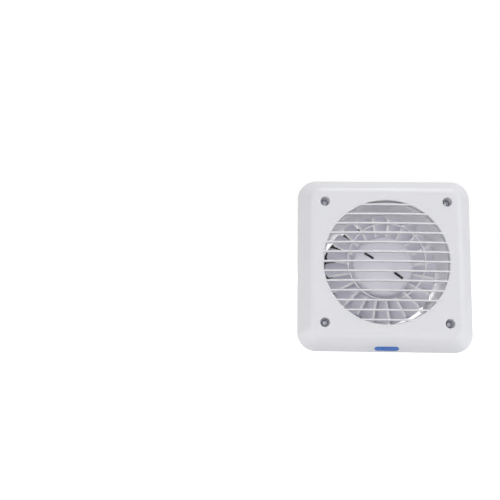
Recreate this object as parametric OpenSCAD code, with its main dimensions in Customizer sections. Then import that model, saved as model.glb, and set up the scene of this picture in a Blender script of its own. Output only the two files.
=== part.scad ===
// Bathroom extractor fan for a 150 mm round duct: louvred cover, axial impeller, shaded-pole motor.
// X runs right, -Y faces the room, +Y runs into the duct and +Z is up.
// The origin is on the duct axis, in the plane of the wall that the fan is fixed to.

/* [Cover] */
// Width and height of the square cover at the wall
cover_size = 206; // [204:1:212]
// How far the cover's flat front stands out from the wall
cover_depth = 31; // [31:0.5:34]
// Thickness of the moulded cover
cover_skin = 2.2; // [1.8:0.1:2.6]
// Corner radius of the cover at the wall
cover_corner_r = 22; // [18:1:26]
// Half the width of the flat front, inside the rounded shoulder
flat_half = 81; // [80:0.5:82]
// Radius of the rounded shoulder between the flat front and the sloping sides
shoulder_r = 9; // [7:0.5:10]
// Radius of the round air inlet
inlet_r = 73; // [71:0.5:73]

/* [Louvres] */
// Number of louvres across the inlet
louvre_count = 13; // [9:2:13]
// Distance from one louvre to the next
louvre_pitch = 11.3; // [10.5:0.1:11.4]
// Thickness of a louvre
louvre_t = 2; // [1.4:0.1:2.4]
// Depth of a louvre, front to back
louvre_depth = 9; // [7:0.5:9.5]
// Radius at which the louvres run out on the flat front
grille_r = 81; // [79:0.5:81]
// How far the middle of the domed grille stands out from the flat front
grille_rise = 5; // [4:0.5:6]
// Middle radius of the stiffening ring behind the louvres
guard_ring_r = 45; // [42:0.5:50]

/* [Duct spigot] */
// Outer radius of the spigot that the duct slides over
spigot_r = 74; // [73.5:0.5:75]
// Length of the spigot behind the wall plane
spigot_length = 118; // [114:1:126]
// Wall thickness of the spigot and air tunnel
tunnel_wall = 2; // [1.6:0.1:2]

/* [Fixings] */
// Distance between the cover screws, across and down
cover_screw_spacing = 143; // [142:0.5:144]
// Distance between the wall fixing holes, across
wall_hole_spacing_x = 172; // [168:1:176]
// Distance between the wall fixing holes, down
wall_hole_spacing_z = 100; // [84:1:104]
// Radius of the wall fixing holes
wall_hole_r = 2.75; // [2.25:0.25:3]

/* [Impeller] */
// Number of blades
blade_count = 20; // [14:1:20]
// Radius of the blade tips
blade_tip_r = 68; // [66:0.5:68]
// Radius of the hub at its front shoulder
hub_front_r = 36; // [34:0.5:36.5]
// Radius of the hub at its open back
hub_rear_r = 39.5; // [39:0.5:41]
// Distance of the blades' leading edges behind the wall plane
blade_set_back = 28; // [26:0.5:29]
// Depth of the blades, front to back
blade_depth = 18; // [15:0.5:18]
// Distance that a blade runs round while it goes from front to back
blade_run = 18; // [12:0.5:19]
// Thickness of a blade
blade_t = 1.9; // [1.2:0.1:2]
// Radius at which the blades' leading edges turn back to the tips
blade_corner_r = 63.5; // [60:0.5:66]

/* [Motor] */
// Radius of the motor shaft
shaft_r = 3; // [2.5:0.1:3]
// Radius of the rotor
rotor_r = 15.2; // [14.5:0.1:15.3]
// Radius of the hole in the stator
stator_bore_r = 15.6; // [15.6:0.1:16]
// Thickness of the lamination stack
stack_length = 20; // [20:0.5:21]
// Half the width of the stator
stator_half_width = 29; // [29:0.5:30]

/* [Wiring] */
// Radius of the hole in the cable grommet
cable_hole_r = 4.5; // [3.5:0.5:4.5]
// Radius of an insulated motor lead
lead_r = 1.1; // [0.8:0.1:1.1]

/* [Hidden] */
$fn = 96;
eps = 0.01;
cut = 1;

// Cover
cover_half = cover_size / 2;
rim_height = 2.5;
rim_draft = 0.4;
shoulder_out = cover_depth - shoulder_r;
rim_to_shoulder = [rim_height - shoulder_out, cover_half - rim_draft - flat_half];
bevel_angle = acos(shoulder_r / norm(rim_to_shoulder)) + atan2(rim_to_shoulder[0], rim_to_shoulder[1]);
shoulder_steps = 4;
collar_back = cover_depth - 8;
screw_half = cover_screw_spacing / 2;
cup_r = 5.2;
cup_mouth_r = 5.8;
cup_wall = 1.8;
cup_floor_out = cover_depth - 11;
cup_back_out = cup_floor_out - 2;
screw_hole_r = 2.2;
grille_sink = 1;
grille_steps = 8;

// Back plate and air tunnel
plate_half = 96.5;
plate_corner_r = 16;
plate_t = 2.6;
plate_lip = 5;
lip_t = 1.8;
tunnel_r = spigot_r - tunnel_wall;
collar_r = spigot_r + 0.6;
plate_hole_r = collar_r + 0.05;
plate_collar_top = 6;
channel_angles = [-107.5, -120.5];
tunnel_front = cover_depth - 12;
boss_r = 5.2;
boss_top = cup_back_out - 0.1;
cover_screw_pilot_r = 1.95;
bracket_boss_radius = 67.5;
bracket_boss_r = 4;
bracket_out = -94;
bracket_angles = [90, 210, 330];

// Impeller
hub_apex = 2;
hub_dome_r = 160;
hub_edge_r = 7;
hub_back = -(blade_set_back + blade_depth + 1);
hub_wall = 2;
blade_front = -blade_set_back;
blade_back = blade_front - blade_depth;
blade_curve_r = 60;
blade_chord = norm([blade_run, blade_depth]);
blade_bow = sqrt(blade_curve_r * blade_curve_r - blade_chord * blade_chord / 4);
blade_centre = [-blade_run / 2 + blade_bow * blade_depth / blade_chord,
    (blade_front + blade_back) / 2 - blade_bow * blade_run / blade_chord];
first_blade_angle = 9;
slot_angle = 146;
slot_length = 12;
slot_width = 2.8;
slot_radius = 21;
hub_boss_r = 7.5;
hub_boss_back = -30;
shaft_front = -6;
shaft_back = -91;

// Motor, counted out from the wall, so that the depths behind it are negative
stack_front = -56;
stack_back = stack_front - stack_length;
stack_middle = (stack_front + stack_back) / 2;
bridge_stand_off = 5;
bridge_t = 5;
cup_length = 11;
bearing_r = 7;
bearing_length = 8;
bearing_gap = 0.03;
motor_screw_x = 24;
motor_screw_r = 2;
stator_top = 25;
window_top = -22;
window_half = 17.5;
bar_top = -34;
bar_bottom = -47;
coil_half_width = 15;
coil_build = 5.5;
ring_radius = 18.6;
ring_wire_r = 1.1;

// Terminals and cable
terminal_x = [-57, -45];
terminal_y = [-76, -86];
terminal_centre = [-51, -81];
terminal_top = 16;
terminal_base = 4;
insert_out = 10;
grommet_at = [-16, -86];
clamp_at = [-31, -83];
clamp_post_gap = 7;
clamp_post_top = 7;

// Motor leads, as [right, up, out of the wall], from the coil along the tunnel to the terminal block
live_route = [[-6, -58.4, -60], [-6.4, -61.5, -60], [-14, -66, -58.5], [-24, -65.8, -53],
    [-26.4, -65.1, -40], [-26.4, -65.1, -20], [-26.6, -65, -4], [-28.8, -63.8, 6], [-32.5, -65, 10],
    [-38, -65.8, 11], [-42.5, -66, 10.8], [-44.6, -68.5, 10.2], [-45, -72.4, 10]];
neutral_route = [[-11, -58.4, -63], [-11.4, -61.2, -63], [-18, -64.5, -62], [-28, -64.2, -56],
    [-30.9, -63, -43], [-30.9, -63, -20], [-31, -62.9, -4], [-32.6, -61.4, 6], [-36.5, -61.2, 10.5],
    [-43, -61.5, 12], [-51, -62.5, 11.5], [-56.4, -66.5, 10.4], [-57, -72.4, 10]];
lead_steps = 3;
lead_sides = 8;

// Points of the cover's cross-section as [out, half width], moved in by inset
function cover_section(inset) = concat(
    [[inset > 0 ? -cut : 0, cover_half - inset / cos(bevel_angle)],
        [rim_height, cover_half - rim_draft - inset / cos(bevel_angle)]],
    [for (i = [0:shoulder_steps])
        let (a = bevel_angle + (90 - bevel_angle) * i / shoulder_steps)
        [shoulder_out + (shoulder_r - inset) * sin(a), flat_half + (shoulder_r - inset) * cos(a)]]);

// Corner radius of the cover where its half width is h
function cover_corner(h) = cover_corner_r - (cover_half - h) / 2;

// How far the grille's front is out of the wall at a radius
function grille_out(r) = cover_depth + grille_rise * (1 - r * r / (grille_r * grille_r));

// A smooth run of points through a route's points
function smooth(p, steps) = concat([for (i = [0:len(p) - 2], s = [0:steps - 1])
    let (a = p[max(i - 1, 0)], b = p[i], c = p[i + 1], d = p[min(i + 2, len(p) - 1)], t = s / steps)
    (2 * b + (c - a) * t + (2 * a - 5 * b + 4 * c - d) * t * t + (3 * b - a - 3 * c + d) * t * t * t) / 2],
    [p[len(p) - 1]]);

function unit(v) = v / norm(v);
function tangent(p, i) = unit(p[min(i + 1, len(p) - 1)] - p[max(i - 1, 0)]);
function square_to(v, t) = unit(v - (v * t) * t);
function side_vectors(p, i, v) = i == len(p) ? []
    : let (n = square_to(v, tangent(p, i))) concat([n], side_vectors(p, i + 1, n));

// A round tube of radius r swept along the points p
module swept_tube(p, r, sides) {
    sides_of = side_vectors(p, 0, [1, 0.2, 0.1]);
    rings = [for (i = [0:len(p) - 1], k = [0:sides - 1])
        let (n = sides_of[i], m = cross(tangent(p, i), n), a = 360 * k / sides)
        p[i] + r * (cos(a) * n + sin(a) * m)];
    last = (len(p) - 1) * sides;
    faces = concat(
        [[for (k = [0:sides - 1]) k]],
        [for (i = [0:len(p) - 2], k = [0:sides - 1])
            let (a = i * sides, b = a + sides, next = (k + 1) % sides) [a + k, b + k, b + next, a + next]],
        [[for (k = [sides - 1:-1:0]) last + k]]);
    polyhedron(points = rings, faces = faces, convexity = 6);
}

// Children are drawn as seen from the room: x right, y up, z out of the wall
module from_room() {
    rotate([90, 0, 0]) children();
}

module at_corners(half_x, half_y) {
    for (side = [-1, 1], end = [-1, 1]) translate([side * half_x, end * half_y, 0]) children();
}

module at_motor_screws() {
    for (side = [-1, 1]) translate([side * motor_screw_x, 0, 0]) children();
}

module at_clamp_posts() {
    for (end = [-1, 1]) translate([clamp_at[0], clamp_at[1] + end * clamp_post_gap, 0]) children();
}

module tube(outer, inner, back, front) {
    translate([0, 0, back]) difference() {
        cylinder(r = outer, h = front - back);
        translate([0, 0, -cut]) cylinder(r = inner, h = front - back + 2 * cut);
    }
}

module rod(r, back, front) {
    translate([0, 0, back]) cylinder(r = r, h = front - back);
}

module block(x, y, z) {
    translate([x[0], y[0], z[0]]) cube([x[1] - x[0], y[1] - y[0], z[1] - z[0]]);
}

module rounded_plate(half, corner, back, front) {
    translate([0, 0, back]) linear_extrude(front - back) {
        square([2 * (half - corner), 2 * half], center = true);
        square([2 * half, 2 * (half - corner)], center = true);
        at_corners(half - corner, half - corner) circle(r = corner);
    }
}

// A cross-head screw with the underside of its head at z = 0 and its shank pointing to -z
module cross_screw(head_r, head_h, shank_r, shank_length) {
    difference() {
        rotate_extrude() polygon([[0, 0], [head_r, 0], [head_r, head_h * 0.55],
            [head_r * 0.72, head_h], [0, head_h]]);
        for (a = [0, 90]) rotate([0, 0, a + 20]) translate([-head_r * 0.6, -head_r * 0.11, head_h * 0.4])
            cube([head_r * 1.2, head_r * 0.22, head_h]);
    }
    rod(shank_r, -shank_length + shank_r, eps);
    translate([0, 0, -shank_length]) cylinder(r1 = shank_r * 0.3, r2 = shank_r, h = shank_r + eps);
}

// ---- Casing ----

module cover_solid(inset) {
    hull() for (level = cover_section(inset)) {
        corner = cover_corner(level[1]);
        at_corners(level[1] - corner, level[1] - corner)
            translate([0, 0, level[0] - (level[0] > 0 ? eps : 0)]) cylinder(r = corner, h = eps, $fn = 32);
    }
}

// The grille as a solid dome: its back is deep inside the inlet, and its rim is sunk in the flat front
module grille_dome() {
    inner = inlet_r + 1;
    rotate_extrude() polygon(concat(
        [for (i = [0:grille_steps]) let (r = grille_r * i / grille_steps) [r, grille_out(r)]],
        [[grille_r, cover_depth - grille_sink], [inner, cover_depth - grille_sink]],
        [for (i = [grille_steps:-1:0]) let (r = inner * i / grille_steps)
            [r, grille_out(r) - louvre_depth]]));
}

module louvre_bars() {
    intersection() {
        grille_dome();
        for (i = [0:louvre_count - 1]) translate([0, (i - (louvre_count - 1) / 2) * louvre_pitch, 0])
            block([-grille_r, grille_r], [-louvre_t / 2, louvre_t / 2], [0, cover_depth + 2 * grille_rise]);
    }
}

module front_cover() {
    color("#e6e6ea") from_room() {
        difference() {
            union() {
                difference() {
                    cover_solid(0);
                    cover_solid(cover_skin);
                }
                tube(inlet_r + cover_skin, inlet_r, collar_back, cover_depth - eps);
                at_corners(screw_half, screw_half) rod(cup_r + cup_wall, cup_back_out, cover_depth - 1);
            }
            rod(inlet_r, 0, cover_depth + cut);
            at_corners(screw_half, screw_half) {
                rod(cup_r, cup_floor_out, cover_depth + cut);
                translate([0, 0, cover_depth - 1.2]) cylinder(r1 = cup_r, r2 = cup_mouth_r, h = 1.2 + eps);
                rod(screw_hole_r, 0, cover_depth);
            }
        }
        louvre_bars();
        tube(guard_ring_r + 0.6, guard_ring_r - 0.6, grille_out(guard_ring_r) - louvre_depth,
            grille_out(guard_ring_r) - 3.5);
    }
}

module cover_screws() {
    color("#b9babf") from_room() at_corners(screw_half, screw_half)
        translate([0, 0, cup_floor_out]) cross_screw(4, 2.6, 1.9, 15);
}

// A plain strip on the lower slope of the cover
module badge() {
    badge_out = 8.2;
    badge_half = cover_half - rim_draft - (badge_out - rim_height) * tan(bevel_angle);
    badge_width = 8.2;
    straight = 20.6;
    color("#2a62ad") from_room() translate([1.3, -badge_half, badge_out]) rotate([90 - bevel_angle, 0, 0])
        translate([0, 0, 0.05]) linear_extrude(0.6) {
            square([straight, badge_width], center = true);
            for (side = [-1, 1]) translate([side * straight / 2, 0]) circle(r = badge_width / 2);
        }
}

// The square plate that is screwed to the wall, with everything that stands on it
module back_plate() {
    color("#dcdcdf") from_room() difference() {
        union() {
            rounded_plate(plate_half, plate_corner_r, 0, plate_t);
            difference() {
                rounded_plate(plate_half, plate_corner_r, 0, plate_lip);
                rounded_plate(plate_half - lip_t, plate_corner_r - lip_t, -cut, plate_lip + cut);
            }
            tube(plate_hole_r + 2, plate_hole_r, 0, plate_collar_top);
            at_corners(screw_half, screw_half) rod(boss_r, 0, boss_top);
            for (a = [45:90:315]) rotate([0, 0, a])
                block([plate_hole_r + 2.4, screw_half * sqrt(2)], [-0.8, 0.8], [0, boss_top - 6]);
            at_clamp_posts() rod(3, 0, clamp_post_top - 0.05);
            block([-61, -41], [-83, -79], [0, terminal_base - 0.05]);
        }
        rod(plate_hole_r, -cut, plate_collar_top + cut);
        at_corners(screw_half, screw_half) rod(cover_screw_pilot_r, 4, boss_top + cut);
        at_corners(wall_hole_spacing_x / 2, wall_hole_spacing_z / 2) rod(wall_hole_r, -cut, plate_t + cut);
        translate(grommet_at) rod(7, -cut, plate_t + cut);
        at_clamp_posts() rod(1.45, 0.6, clamp_post_top + cut);
        translate(terminal_centre) rod(1.25, 0.6, terminal_base + cut);
    }
}

// The round tunnel: the duct slides over its back, the impeller turns in it and the motor is held in it
module air_tunnel() {
    boss_back = bracket_out + 0.05;
    boss_front = bracket_out + 16;
    color("#dcdcdf") from_room() {
        difference() {
            union() {
                rod(spigot_r, -spigot_length, eps);
                rod(collar_r, 0, tunnel_front);
                tube(collar_r + 1.2, collar_r - 1, tunnel_front - 2.5, tunnel_front);
                tube(plate_hole_r + 2, collar_r - 1, plate_collar_top + 0.05, plate_collar_top + 1.8);
            }
            rod(tunnel_r, -spigot_length - cut, tunnel_front + cut);
            block([-46, -27], [-71, -56], [6, tunnel_front + cut]);
        }
        for (a = bracket_angles) rotate([0, 0, a]) difference() {
            union() {
                translate([bracket_boss_radius, 0, 0]) rod(bracket_boss_r, boss_back, boss_front);
                block([bracket_boss_radius, tunnel_r + 0.5], [-2, 2], [boss_back, boss_front]);
            }
            translate([bracket_boss_radius, 0, 0]) rod(1.45, boss_back - cut, boss_front - 3);
        }
        for (a = channel_angles) rotate([0, 0, a])
            block([tunnel_r - 2.2, tunnel_r + 0.5], [-0.5, 0.5], [-50, 4]);
    }
}

// ---- Motor mounting ----

module motor_bracket() {
    arm_inner = 28;
    color("#d5d6d8") from_room() difference() {
        union() {
            rod(34, bracket_out - 3, bracket_out);
            at_motor_screws() rod(5, bracket_out - eps, stack_back - bridge_stand_off - bridge_t - 0.05);
            for (a = bracket_angles) rotate([0, 0, a]) {
                block([arm_inner, bracket_boss_radius], [-1.5, 1.5], [bracket_out - 9, bracket_out]);
                translate([bracket_boss_radius, 0, 0]) rod(bracket_boss_r, bracket_out - 3, bracket_out);
            }
            tube(34, 31.5, bracket_out - 9, bracket_out);
        }
        rod(12, bracket_out - 10, bracket_out + cut);
        at_motor_screws() rod(motor_screw_r + 0.1, bracket_out - 10, bracket_out + 20);
        for (a = bracket_angles) rotate([0, 0, a]) {
            translate([bracket_boss_radius, 0, 0]) rod(1.8, bracket_out - 10, bracket_out + cut);
            translate([bracket_boss_radius, 0, 0]) rod(3.4, bracket_out - 10, bracket_out - 3);
        }
        for (a = bracket_angles) rotate([0, 0, a - 60]) translate([21.5, 0, 0])
            rod(4.5, bracket_out - 4, bracket_out + cut);
    }
}

module bracket_screws() {
    color("#a9aaae") from_room() for (a = bracket_angles) rotate([0, 0, a])
        translate([bracket_boss_radius, 0, bracket_out - 3]) rotate([180, 0, 0]) cross_screw(3.1, 2, 1.4, 12);
}

// Sets its children on the front of the lamination stack, or as their mirror image on its back
module at_stack_end(end) {
    translate([0, 0, stack_middle]) mirror([0, 0, end == "front" ? 0 : 1])
        translate([0, 0, stack_length / 2]) children();
}

module bearing_bridge(end) {
    from_room() at_stack_end(end) difference() {
        union() {
            block([-motor_screw_x, motor_screw_x], [-6, 6], [bridge_stand_off, bridge_stand_off + bridge_t]);
            at_motor_screws() {
                rod(4.5, 0.02, bridge_stand_off + eps);
                rod(6, bridge_stand_off, bridge_stand_off + bridge_t);
            }
            rod(10, bridge_stand_off, bridge_stand_off + cup_length);
            rod(8, bridge_stand_off, bridge_stand_off + cup_length + 1.5);
        }
        at_motor_screws() rod(motor_screw_r + 0.1, -cut, 20);
        rod(bearing_r + 0.02, bridge_stand_off - cut, bridge_stand_off + 1 + bearing_length);
        rod(4, bridge_stand_off, bridge_stand_off + 20);
        rod(9, bridge_stand_off - cut, bridge_stand_off + 1);
    }
}

module front_bearing_bridge() {
    color("#9fa1a4") bearing_bridge("front");
}

module rear_bearing_bridge() {
    color("#9fa1a4") bearing_bridge("rear");
}

module bearing(end) {
    from_room() at_stack_end(end) tube(bearing_r, shaft_r + bearing_gap, bridge_stand_off + 1.02,
        bridge_stand_off + 0.98 + bearing_length);
}

module front_bearing() {
    color("#b08a4e") bearing("front");
}

module rear_bearing() {
    color("#b08a4e") bearing("rear");
}

module bearing_retainers() {
    color("#8d9095") from_room() for (end = ["front", "rear"]) at_stack_end(end) difference() {
        tube(8.95, 4.6, bridge_stand_off + 0.5, bridge_stand_off + 0.98);
        for (a = [0:60:300]) rotate([0, 0, a])
            block([3, 6.4], [-0.6, 0.6], [bridge_stand_off, bridge_stand_off + 2]);
    }
}

module ring_pair() {
    for (a = [125, 155, 305, 335]) rotate([0, 0, a]) translate([ring_radius, 0, 0]) children();
}

module stator_core() {
    color("#6f7378") from_room() difference() {
        union() {
            block([-stator_half_width, stator_half_width], [window_top, stator_top],
                [stack_back, stack_front]);
            for (side = [0, 1]) mirror([side, 0, 0])
                block([window_half, stator_half_width], [bar_bottom, window_top + eps],
                    [stack_back, stack_front]);
        }
        rod(stator_bore_r, stack_back - cut, stack_front + cut);
        at_motor_screws() rod(motor_screw_r + 0.1, stack_back - cut, stack_front + cut);
        ring_pair() rod(ring_wire_r + 0.05, stack_back - cut, stack_front + cut);
        for (a = [75, 255]) rotate([0, 0, a])
            block([0, 21], [-0.8, 0.8], [stack_back - cut, stack_front + cut]);
    }
}

// The straight stack of laminations that carries the coil
module core_bar() {
    color("#676b70") from_room()
        block([-window_half + 0.05, window_half - 0.05], [bar_bottom, bar_top], [stack_back, stack_front]);
}

module shading_rings() {
    half_span = ring_radius * sin(15);
    color("#b4713f") from_room() {
        ring_pair() rod(ring_wire_r, stack_back - 0.5, stack_front + 0.5);
        for (a = [140, 320], out = [stack_back - 1.7, stack_front + 0.1]) rotate([0, 0, a])
            translate([ring_radius * cos(15), 0, out]) linear_extrude(1.6) {
                square([2.6, 2 * half_span], center = true);
                for (side = [-1, 1]) translate([0, side * half_span]) circle(r = 1.3);
            }
    }
}

// A rectangular sleeve round the core bar, grown by so much on each side of the bar
module bar_sleeve(grow, x) {
    block(x, [bar_bottom - grow, bar_top + grow], [stack_back - grow, stack_front + grow]);
}

module coil_bobbin() {
    flange = coil_half_width + 1.6;
    color("#ece7d6") from_room() difference() {
        union() {
            bar_sleeve(1.1, [-flange, flange]);
            for (side = [0, 1]) mirror([side, 0, 0]) bar_sleeve(coil_build + 1.4, [coil_half_width, flange]);
            block([-flange, flange], [-58, -55.4], [stack_middle - 1, stack_middle + 9]);
            for (side = [0, 1]) mirror([side, 0, 0])
                block([coil_half_width, flange], [-58, -53], [stack_middle - 1, stack_middle + 9]);
        }
        bar_sleeve(0.1, [-flange - cut, flange + cut]);
    }
}

module coil_winding() {
    color("#a9582c") from_room() difference() {
        union() {
            bar_sleeve(coil_build, [-coil_half_width + 0.05, coil_half_width - 0.05]);
            bar_sleeve(coil_build + 0.5, [-coil_half_width + 2, coil_half_width - 2]);
        }
        bar_sleeve(1.15, [-coil_half_width, coil_half_width]);
    }
}

module thermal_fuse() {
    color("#c9c4b4") from_room() translate([-2, -60, stack_middle + 5]) rotate([0, 90, 0]) {
        rod(1.9, 0, 9);
        rod(0.4, -2.5, 0);
        rod(0.4, 9, 11.5);
    }
}

module motor_screws() {
    head_out = stack_front + bridge_stand_off + bridge_t;
    color("#b6b8bc") from_room() at_motor_screws() translate([0, 0, head_out + 0.02])
        cross_screw(3.6, 2.6, motor_screw_r, head_out - bracket_out + 9);
}

module motor_nuts() {
    color("#b6b8bc") from_room() at_motor_screws() translate([0, 0, bracket_out - 6.3])
        difference() {
            cylinder(r = 3.9, h = 3.2, $fn = 6);
            translate([0, 0, -cut]) cylinder(r = motor_screw_r + 0.02, h = 6);
        }
}

// ---- Terminals and wiring ----

module terminal_block() {
    color("#f0efe9") from_room() difference() {
        union() {
            block([-63, -39], [-90, -72], [terminal_base, 12]);
            for (x = terminal_x) block([x - 4, x + 4], [-90, -72], [11, terminal_top]);
        }
        for (x = terminal_x) {
            translate([x, -91, insert_out]) rotate([-90, 0, 0]) cylinder(r = 2.75, h = 20);
            for (y = terminal_y) translate([x, y, 0]) rod(2, insert_out, terminal_top + cut);
        }
        translate(terminal_centre) rod(1.3, 0, 20);
        translate(terminal_centre) rod(2.5, 10, 20);
    }
}

module terminal_inserts() {
    color("#c9a13b") from_room() for (x = terminal_x) difference() {
        translate([x, -89.5, insert_out]) rotate([-90, 0, 0]) cylinder(r = 2.7, h = 17);
        translate([x, -91, insert_out]) rotate([-90, 0, 0]) cylinder(r = 1.6, h = 20);
        for (y = terminal_y) translate([x, y, insert_out]) cylinder(r = 1.55, h = 4);
    }
}

module terminal_screws() {
    color("#c4c6c9") from_room() for (x = terminal_x, y = terminal_y) translate([x, y, 0]) difference() {
        union() {
            rod(1.5, insert_out + 1.7, 13.2);
            rod(1.9, 13.2 - eps, 15);
        }
        block([-2, 2], [-0.35, 0.35], [14, 16]);
    }
}

module terminal_fixing_screw() {
    color("#a9aaae") from_room() translate([terminal_centre[0], terminal_centre[1], 10.02])
        cross_screw(2.3, 1.6, 1.2, 9);
}

module cable_grommet() {
    color("#3c3d40") from_room() translate(grommet_at) difference() {
        union() {
            rod(6.95, 0.2, plate_t + 0.1);
            rod(8.6, plate_t + 0.05, plate_t + 2);
        }
        rod(cable_hole_r, -cut, 10);
    }
}

module cable_clamp() {
    color("#e4e4e2") from_room() difference() {
        translate(clamp_at) block([-4, 4], [-10.5, 10.5], [clamp_post_top, clamp_post_top + 3]);
        at_clamp_posts() rod(1.6, 0, 20);
        translate([clamp_at[0] - 5, clamp_at[1], clamp_post_top - 1.6]) rotate([0, 90, 0])
            cylinder(r = 3.6, h = 10);
    }
}

module cable_clamp_screws() {
    color("#a9aaae") from_room() at_clamp_posts() translate([0, 0, clamp_post_top + 3.02])
        cross_screw(2.6, 1.8, 1.4, 8.5);
}

module live_lead() {
    color("#8a5a35") from_room() swept_tube(smooth(live_route, lead_steps), lead_r, lead_sides);
}

module neutral_lead() {
    color("#3f72b8") from_room() swept_tube(smooth(neutral_route, lead_steps), lead_r, lead_sides);
}

// ---- Rotor ----

module hub_outline(inset) {
    front = hub_apex - inset;
    edge = hub_edge_r - inset;
    edge_out = -hub_edge_r;
    back = hub_back - (inset > 0 ? cut : 0);
    square_width = hub_front_r - hub_edge_r;
    intersection() {
        union() {
            polygon([[0, back], [hub_rear_r - inset, back], [hub_front_r - inset, edge_out], [0, edge_out]]);
            translate([0, edge_out - cut]) square([square_width, edge + cut + hub_apex]);
            translate([square_width, edge_out]) circle(r = edge);
        }
        translate([0, front - hub_dome_r]) circle(r = hub_dome_r, $fn = 200);
        translate([0, hub_back - 2 * cut]) square([hub_rear_r + cut, -hub_back + hub_apex + 4 * cut]);
    }
}

// A blade seen end on: part of a thin ring, cut square at its front and back
module blade_profile() {
    intersection() {
        translate(blade_centre) difference() {
            circle(r = blade_curve_r + blade_t / 2);
            circle(r = blade_curve_r - blade_t / 2);
        }
        translate([-blade_run - 6, blade_back]) square([blade_run + 12, blade_depth]);
    }
}

// The blades' limits: square at the back, and cut back to the tips at the front
module blade_sweep() {
    rotate_extrude() polygon([[0, hub_back - cut], [blade_tip_r, hub_back - cut],
        [blade_tip_r, blade_front - (blade_tip_r - blade_corner_r)], [blade_corner_r, blade_front + eps],
        [0, blade_front + eps]]);
}

module impeller_blades() {
    root = hub_rear_r - 6;
    length = blade_tip_r - root + 5;
    color("#dad9df") from_room() difference() {
        intersection() {
            for (i = [0:blade_count - 1]) rotate([0, 0, first_blade_angle + i * 360 / blade_count])
                translate([root, 0, 0]) rotate([90, 0, 90]) linear_extrude(length) blade_profile();
            blade_sweep();
        }
        rotate_extrude() hub_outline(-0.03);
    }
}

module impeller_hub() {
    color("#dad9df") from_room() difference() {
        rotate_extrude() hub_outline(0);
        difference() {
            rotate_extrude() hub_outline(hub_wall);
            rod(hub_boss_r, hub_boss_back, hub_apex);
            for (a = [0:60:300]) rotate([0, 0, a]) block([0, hub_rear_r], [-0.7, 0.7], [-16, hub_apex]);
        }
        for (a = [0, 180]) rotate([0, 0, slot_angle + a])
            block([slot_radius - slot_length / 2, slot_radius + slot_length / 2],
                [-slot_width / 2, slot_width / 2], [-20, 5]);
        rod(shaft_r + 0.02, hub_boss_back - cut, shaft_front + 0.1);
    }
}

// The open spring ring that grips the impeller's boss on the shaft
module impeller_clip() {
    color("#8d9095") from_room() difference() {
        tube(hub_boss_r + 1.2, hub_boss_r + 0.02, hub_boss_back + 1, hub_boss_back + 4);
        block([0, 12], [-1.5, 1.5], [hub_boss_back, hub_boss_back + 5]);
    }
}

module motor_shaft() {
    color("#c3c6ca") from_room() {
        rod(shaft_r, shaft_back + 0.6, shaft_front - 0.6);
        translate([0, 0, shaft_front - 0.6 - eps]) cylinder(r1 = shaft_r, r2 = shaft_r - 0.6, h = 0.6);
        translate([0, 0, shaft_back]) cylinder(r1 = shaft_r - 0.6, r2 = shaft_r, h = 0.6 + eps);
    }
}

module rotor_core() {
    color("#7b7f84") from_room() tube(rotor_r, shaft_r + 0.01, stack_back, stack_front);
}

// The cast aluminium rings on both ends of the rotor
module rotor_cage() {
    color("#c8cacd") from_room() for (end = ["front", "rear"]) at_stack_end(end) {
        tube(rotor_r - 0.8, 9, 0.01, 2.6);
        for (a = [0:45:315]) rotate([0, 0, a]) block([10, rotor_r - 1.4], [-0.6, 0.6], [2.5, 4.2]);
    }
}

module thrust_spacers() {
    color("#e8e4d8") from_room() for (end = ["front", "rear"]) at_stack_end(end)
        tube(6, shaft_r + 0.02, 0.05, bridge_stand_off + 0.1);
}

back_plate();
air_tunnel();
front_cover();
cover_screws();
badge();
motor_bracket();
bracket_screws();
front_bearing_bridge();
rear_bearing_bridge();
front_bearing();
rear_bearing();
bearing_retainers();
stator_core();
core_bar();
shading_rings();
coil_bobbin();
coil_winding();
thermal_fuse();
motor_screws();
motor_nuts();
terminal_block();
terminal_inserts();
terminal_screws();
terminal_fixing_screw();
cable_grommet();
cable_clamp();
cable_clamp_screws();
live_lead();
neutral_lead();
impeller_hub();
impeller_blades();
impeller_clip();
motor_shaft();
rotor_core();
rotor_cage();
thrust_spacers();
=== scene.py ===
"""Looks of a louvred bathroom extractor fan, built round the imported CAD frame.

Shapes are written as the room sees them, in millimetres: x to the right, up, and out of the wall.
"""

import math

import bmesh
import bpy
from mathutils import Matrix, Vector


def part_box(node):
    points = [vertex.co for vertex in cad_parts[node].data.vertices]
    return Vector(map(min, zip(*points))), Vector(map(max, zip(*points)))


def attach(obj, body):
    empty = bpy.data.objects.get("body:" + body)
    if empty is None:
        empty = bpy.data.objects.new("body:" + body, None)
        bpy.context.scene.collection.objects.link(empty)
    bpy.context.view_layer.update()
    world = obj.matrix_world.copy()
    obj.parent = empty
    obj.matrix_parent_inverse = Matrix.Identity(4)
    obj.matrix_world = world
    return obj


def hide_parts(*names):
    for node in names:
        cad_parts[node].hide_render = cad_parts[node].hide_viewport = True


MM = 0.001
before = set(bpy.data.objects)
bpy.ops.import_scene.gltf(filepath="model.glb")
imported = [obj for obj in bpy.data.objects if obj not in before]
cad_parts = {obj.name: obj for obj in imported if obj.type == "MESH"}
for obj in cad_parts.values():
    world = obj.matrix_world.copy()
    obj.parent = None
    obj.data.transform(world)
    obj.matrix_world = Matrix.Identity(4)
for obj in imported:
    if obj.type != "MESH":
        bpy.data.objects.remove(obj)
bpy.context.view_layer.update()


# ---- Sizes, from the frame and from the part's own drawing ----


def room_box(node):
    """A CAD node's box as the room sees it, in millimetres: ((x, up, out) lowest, highest)."""
    low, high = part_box(node)
    return (low.x / MM, low.z / MM, -high.y / MM), (high.x / MM, high.z / MM, -low.y / MM)


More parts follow.
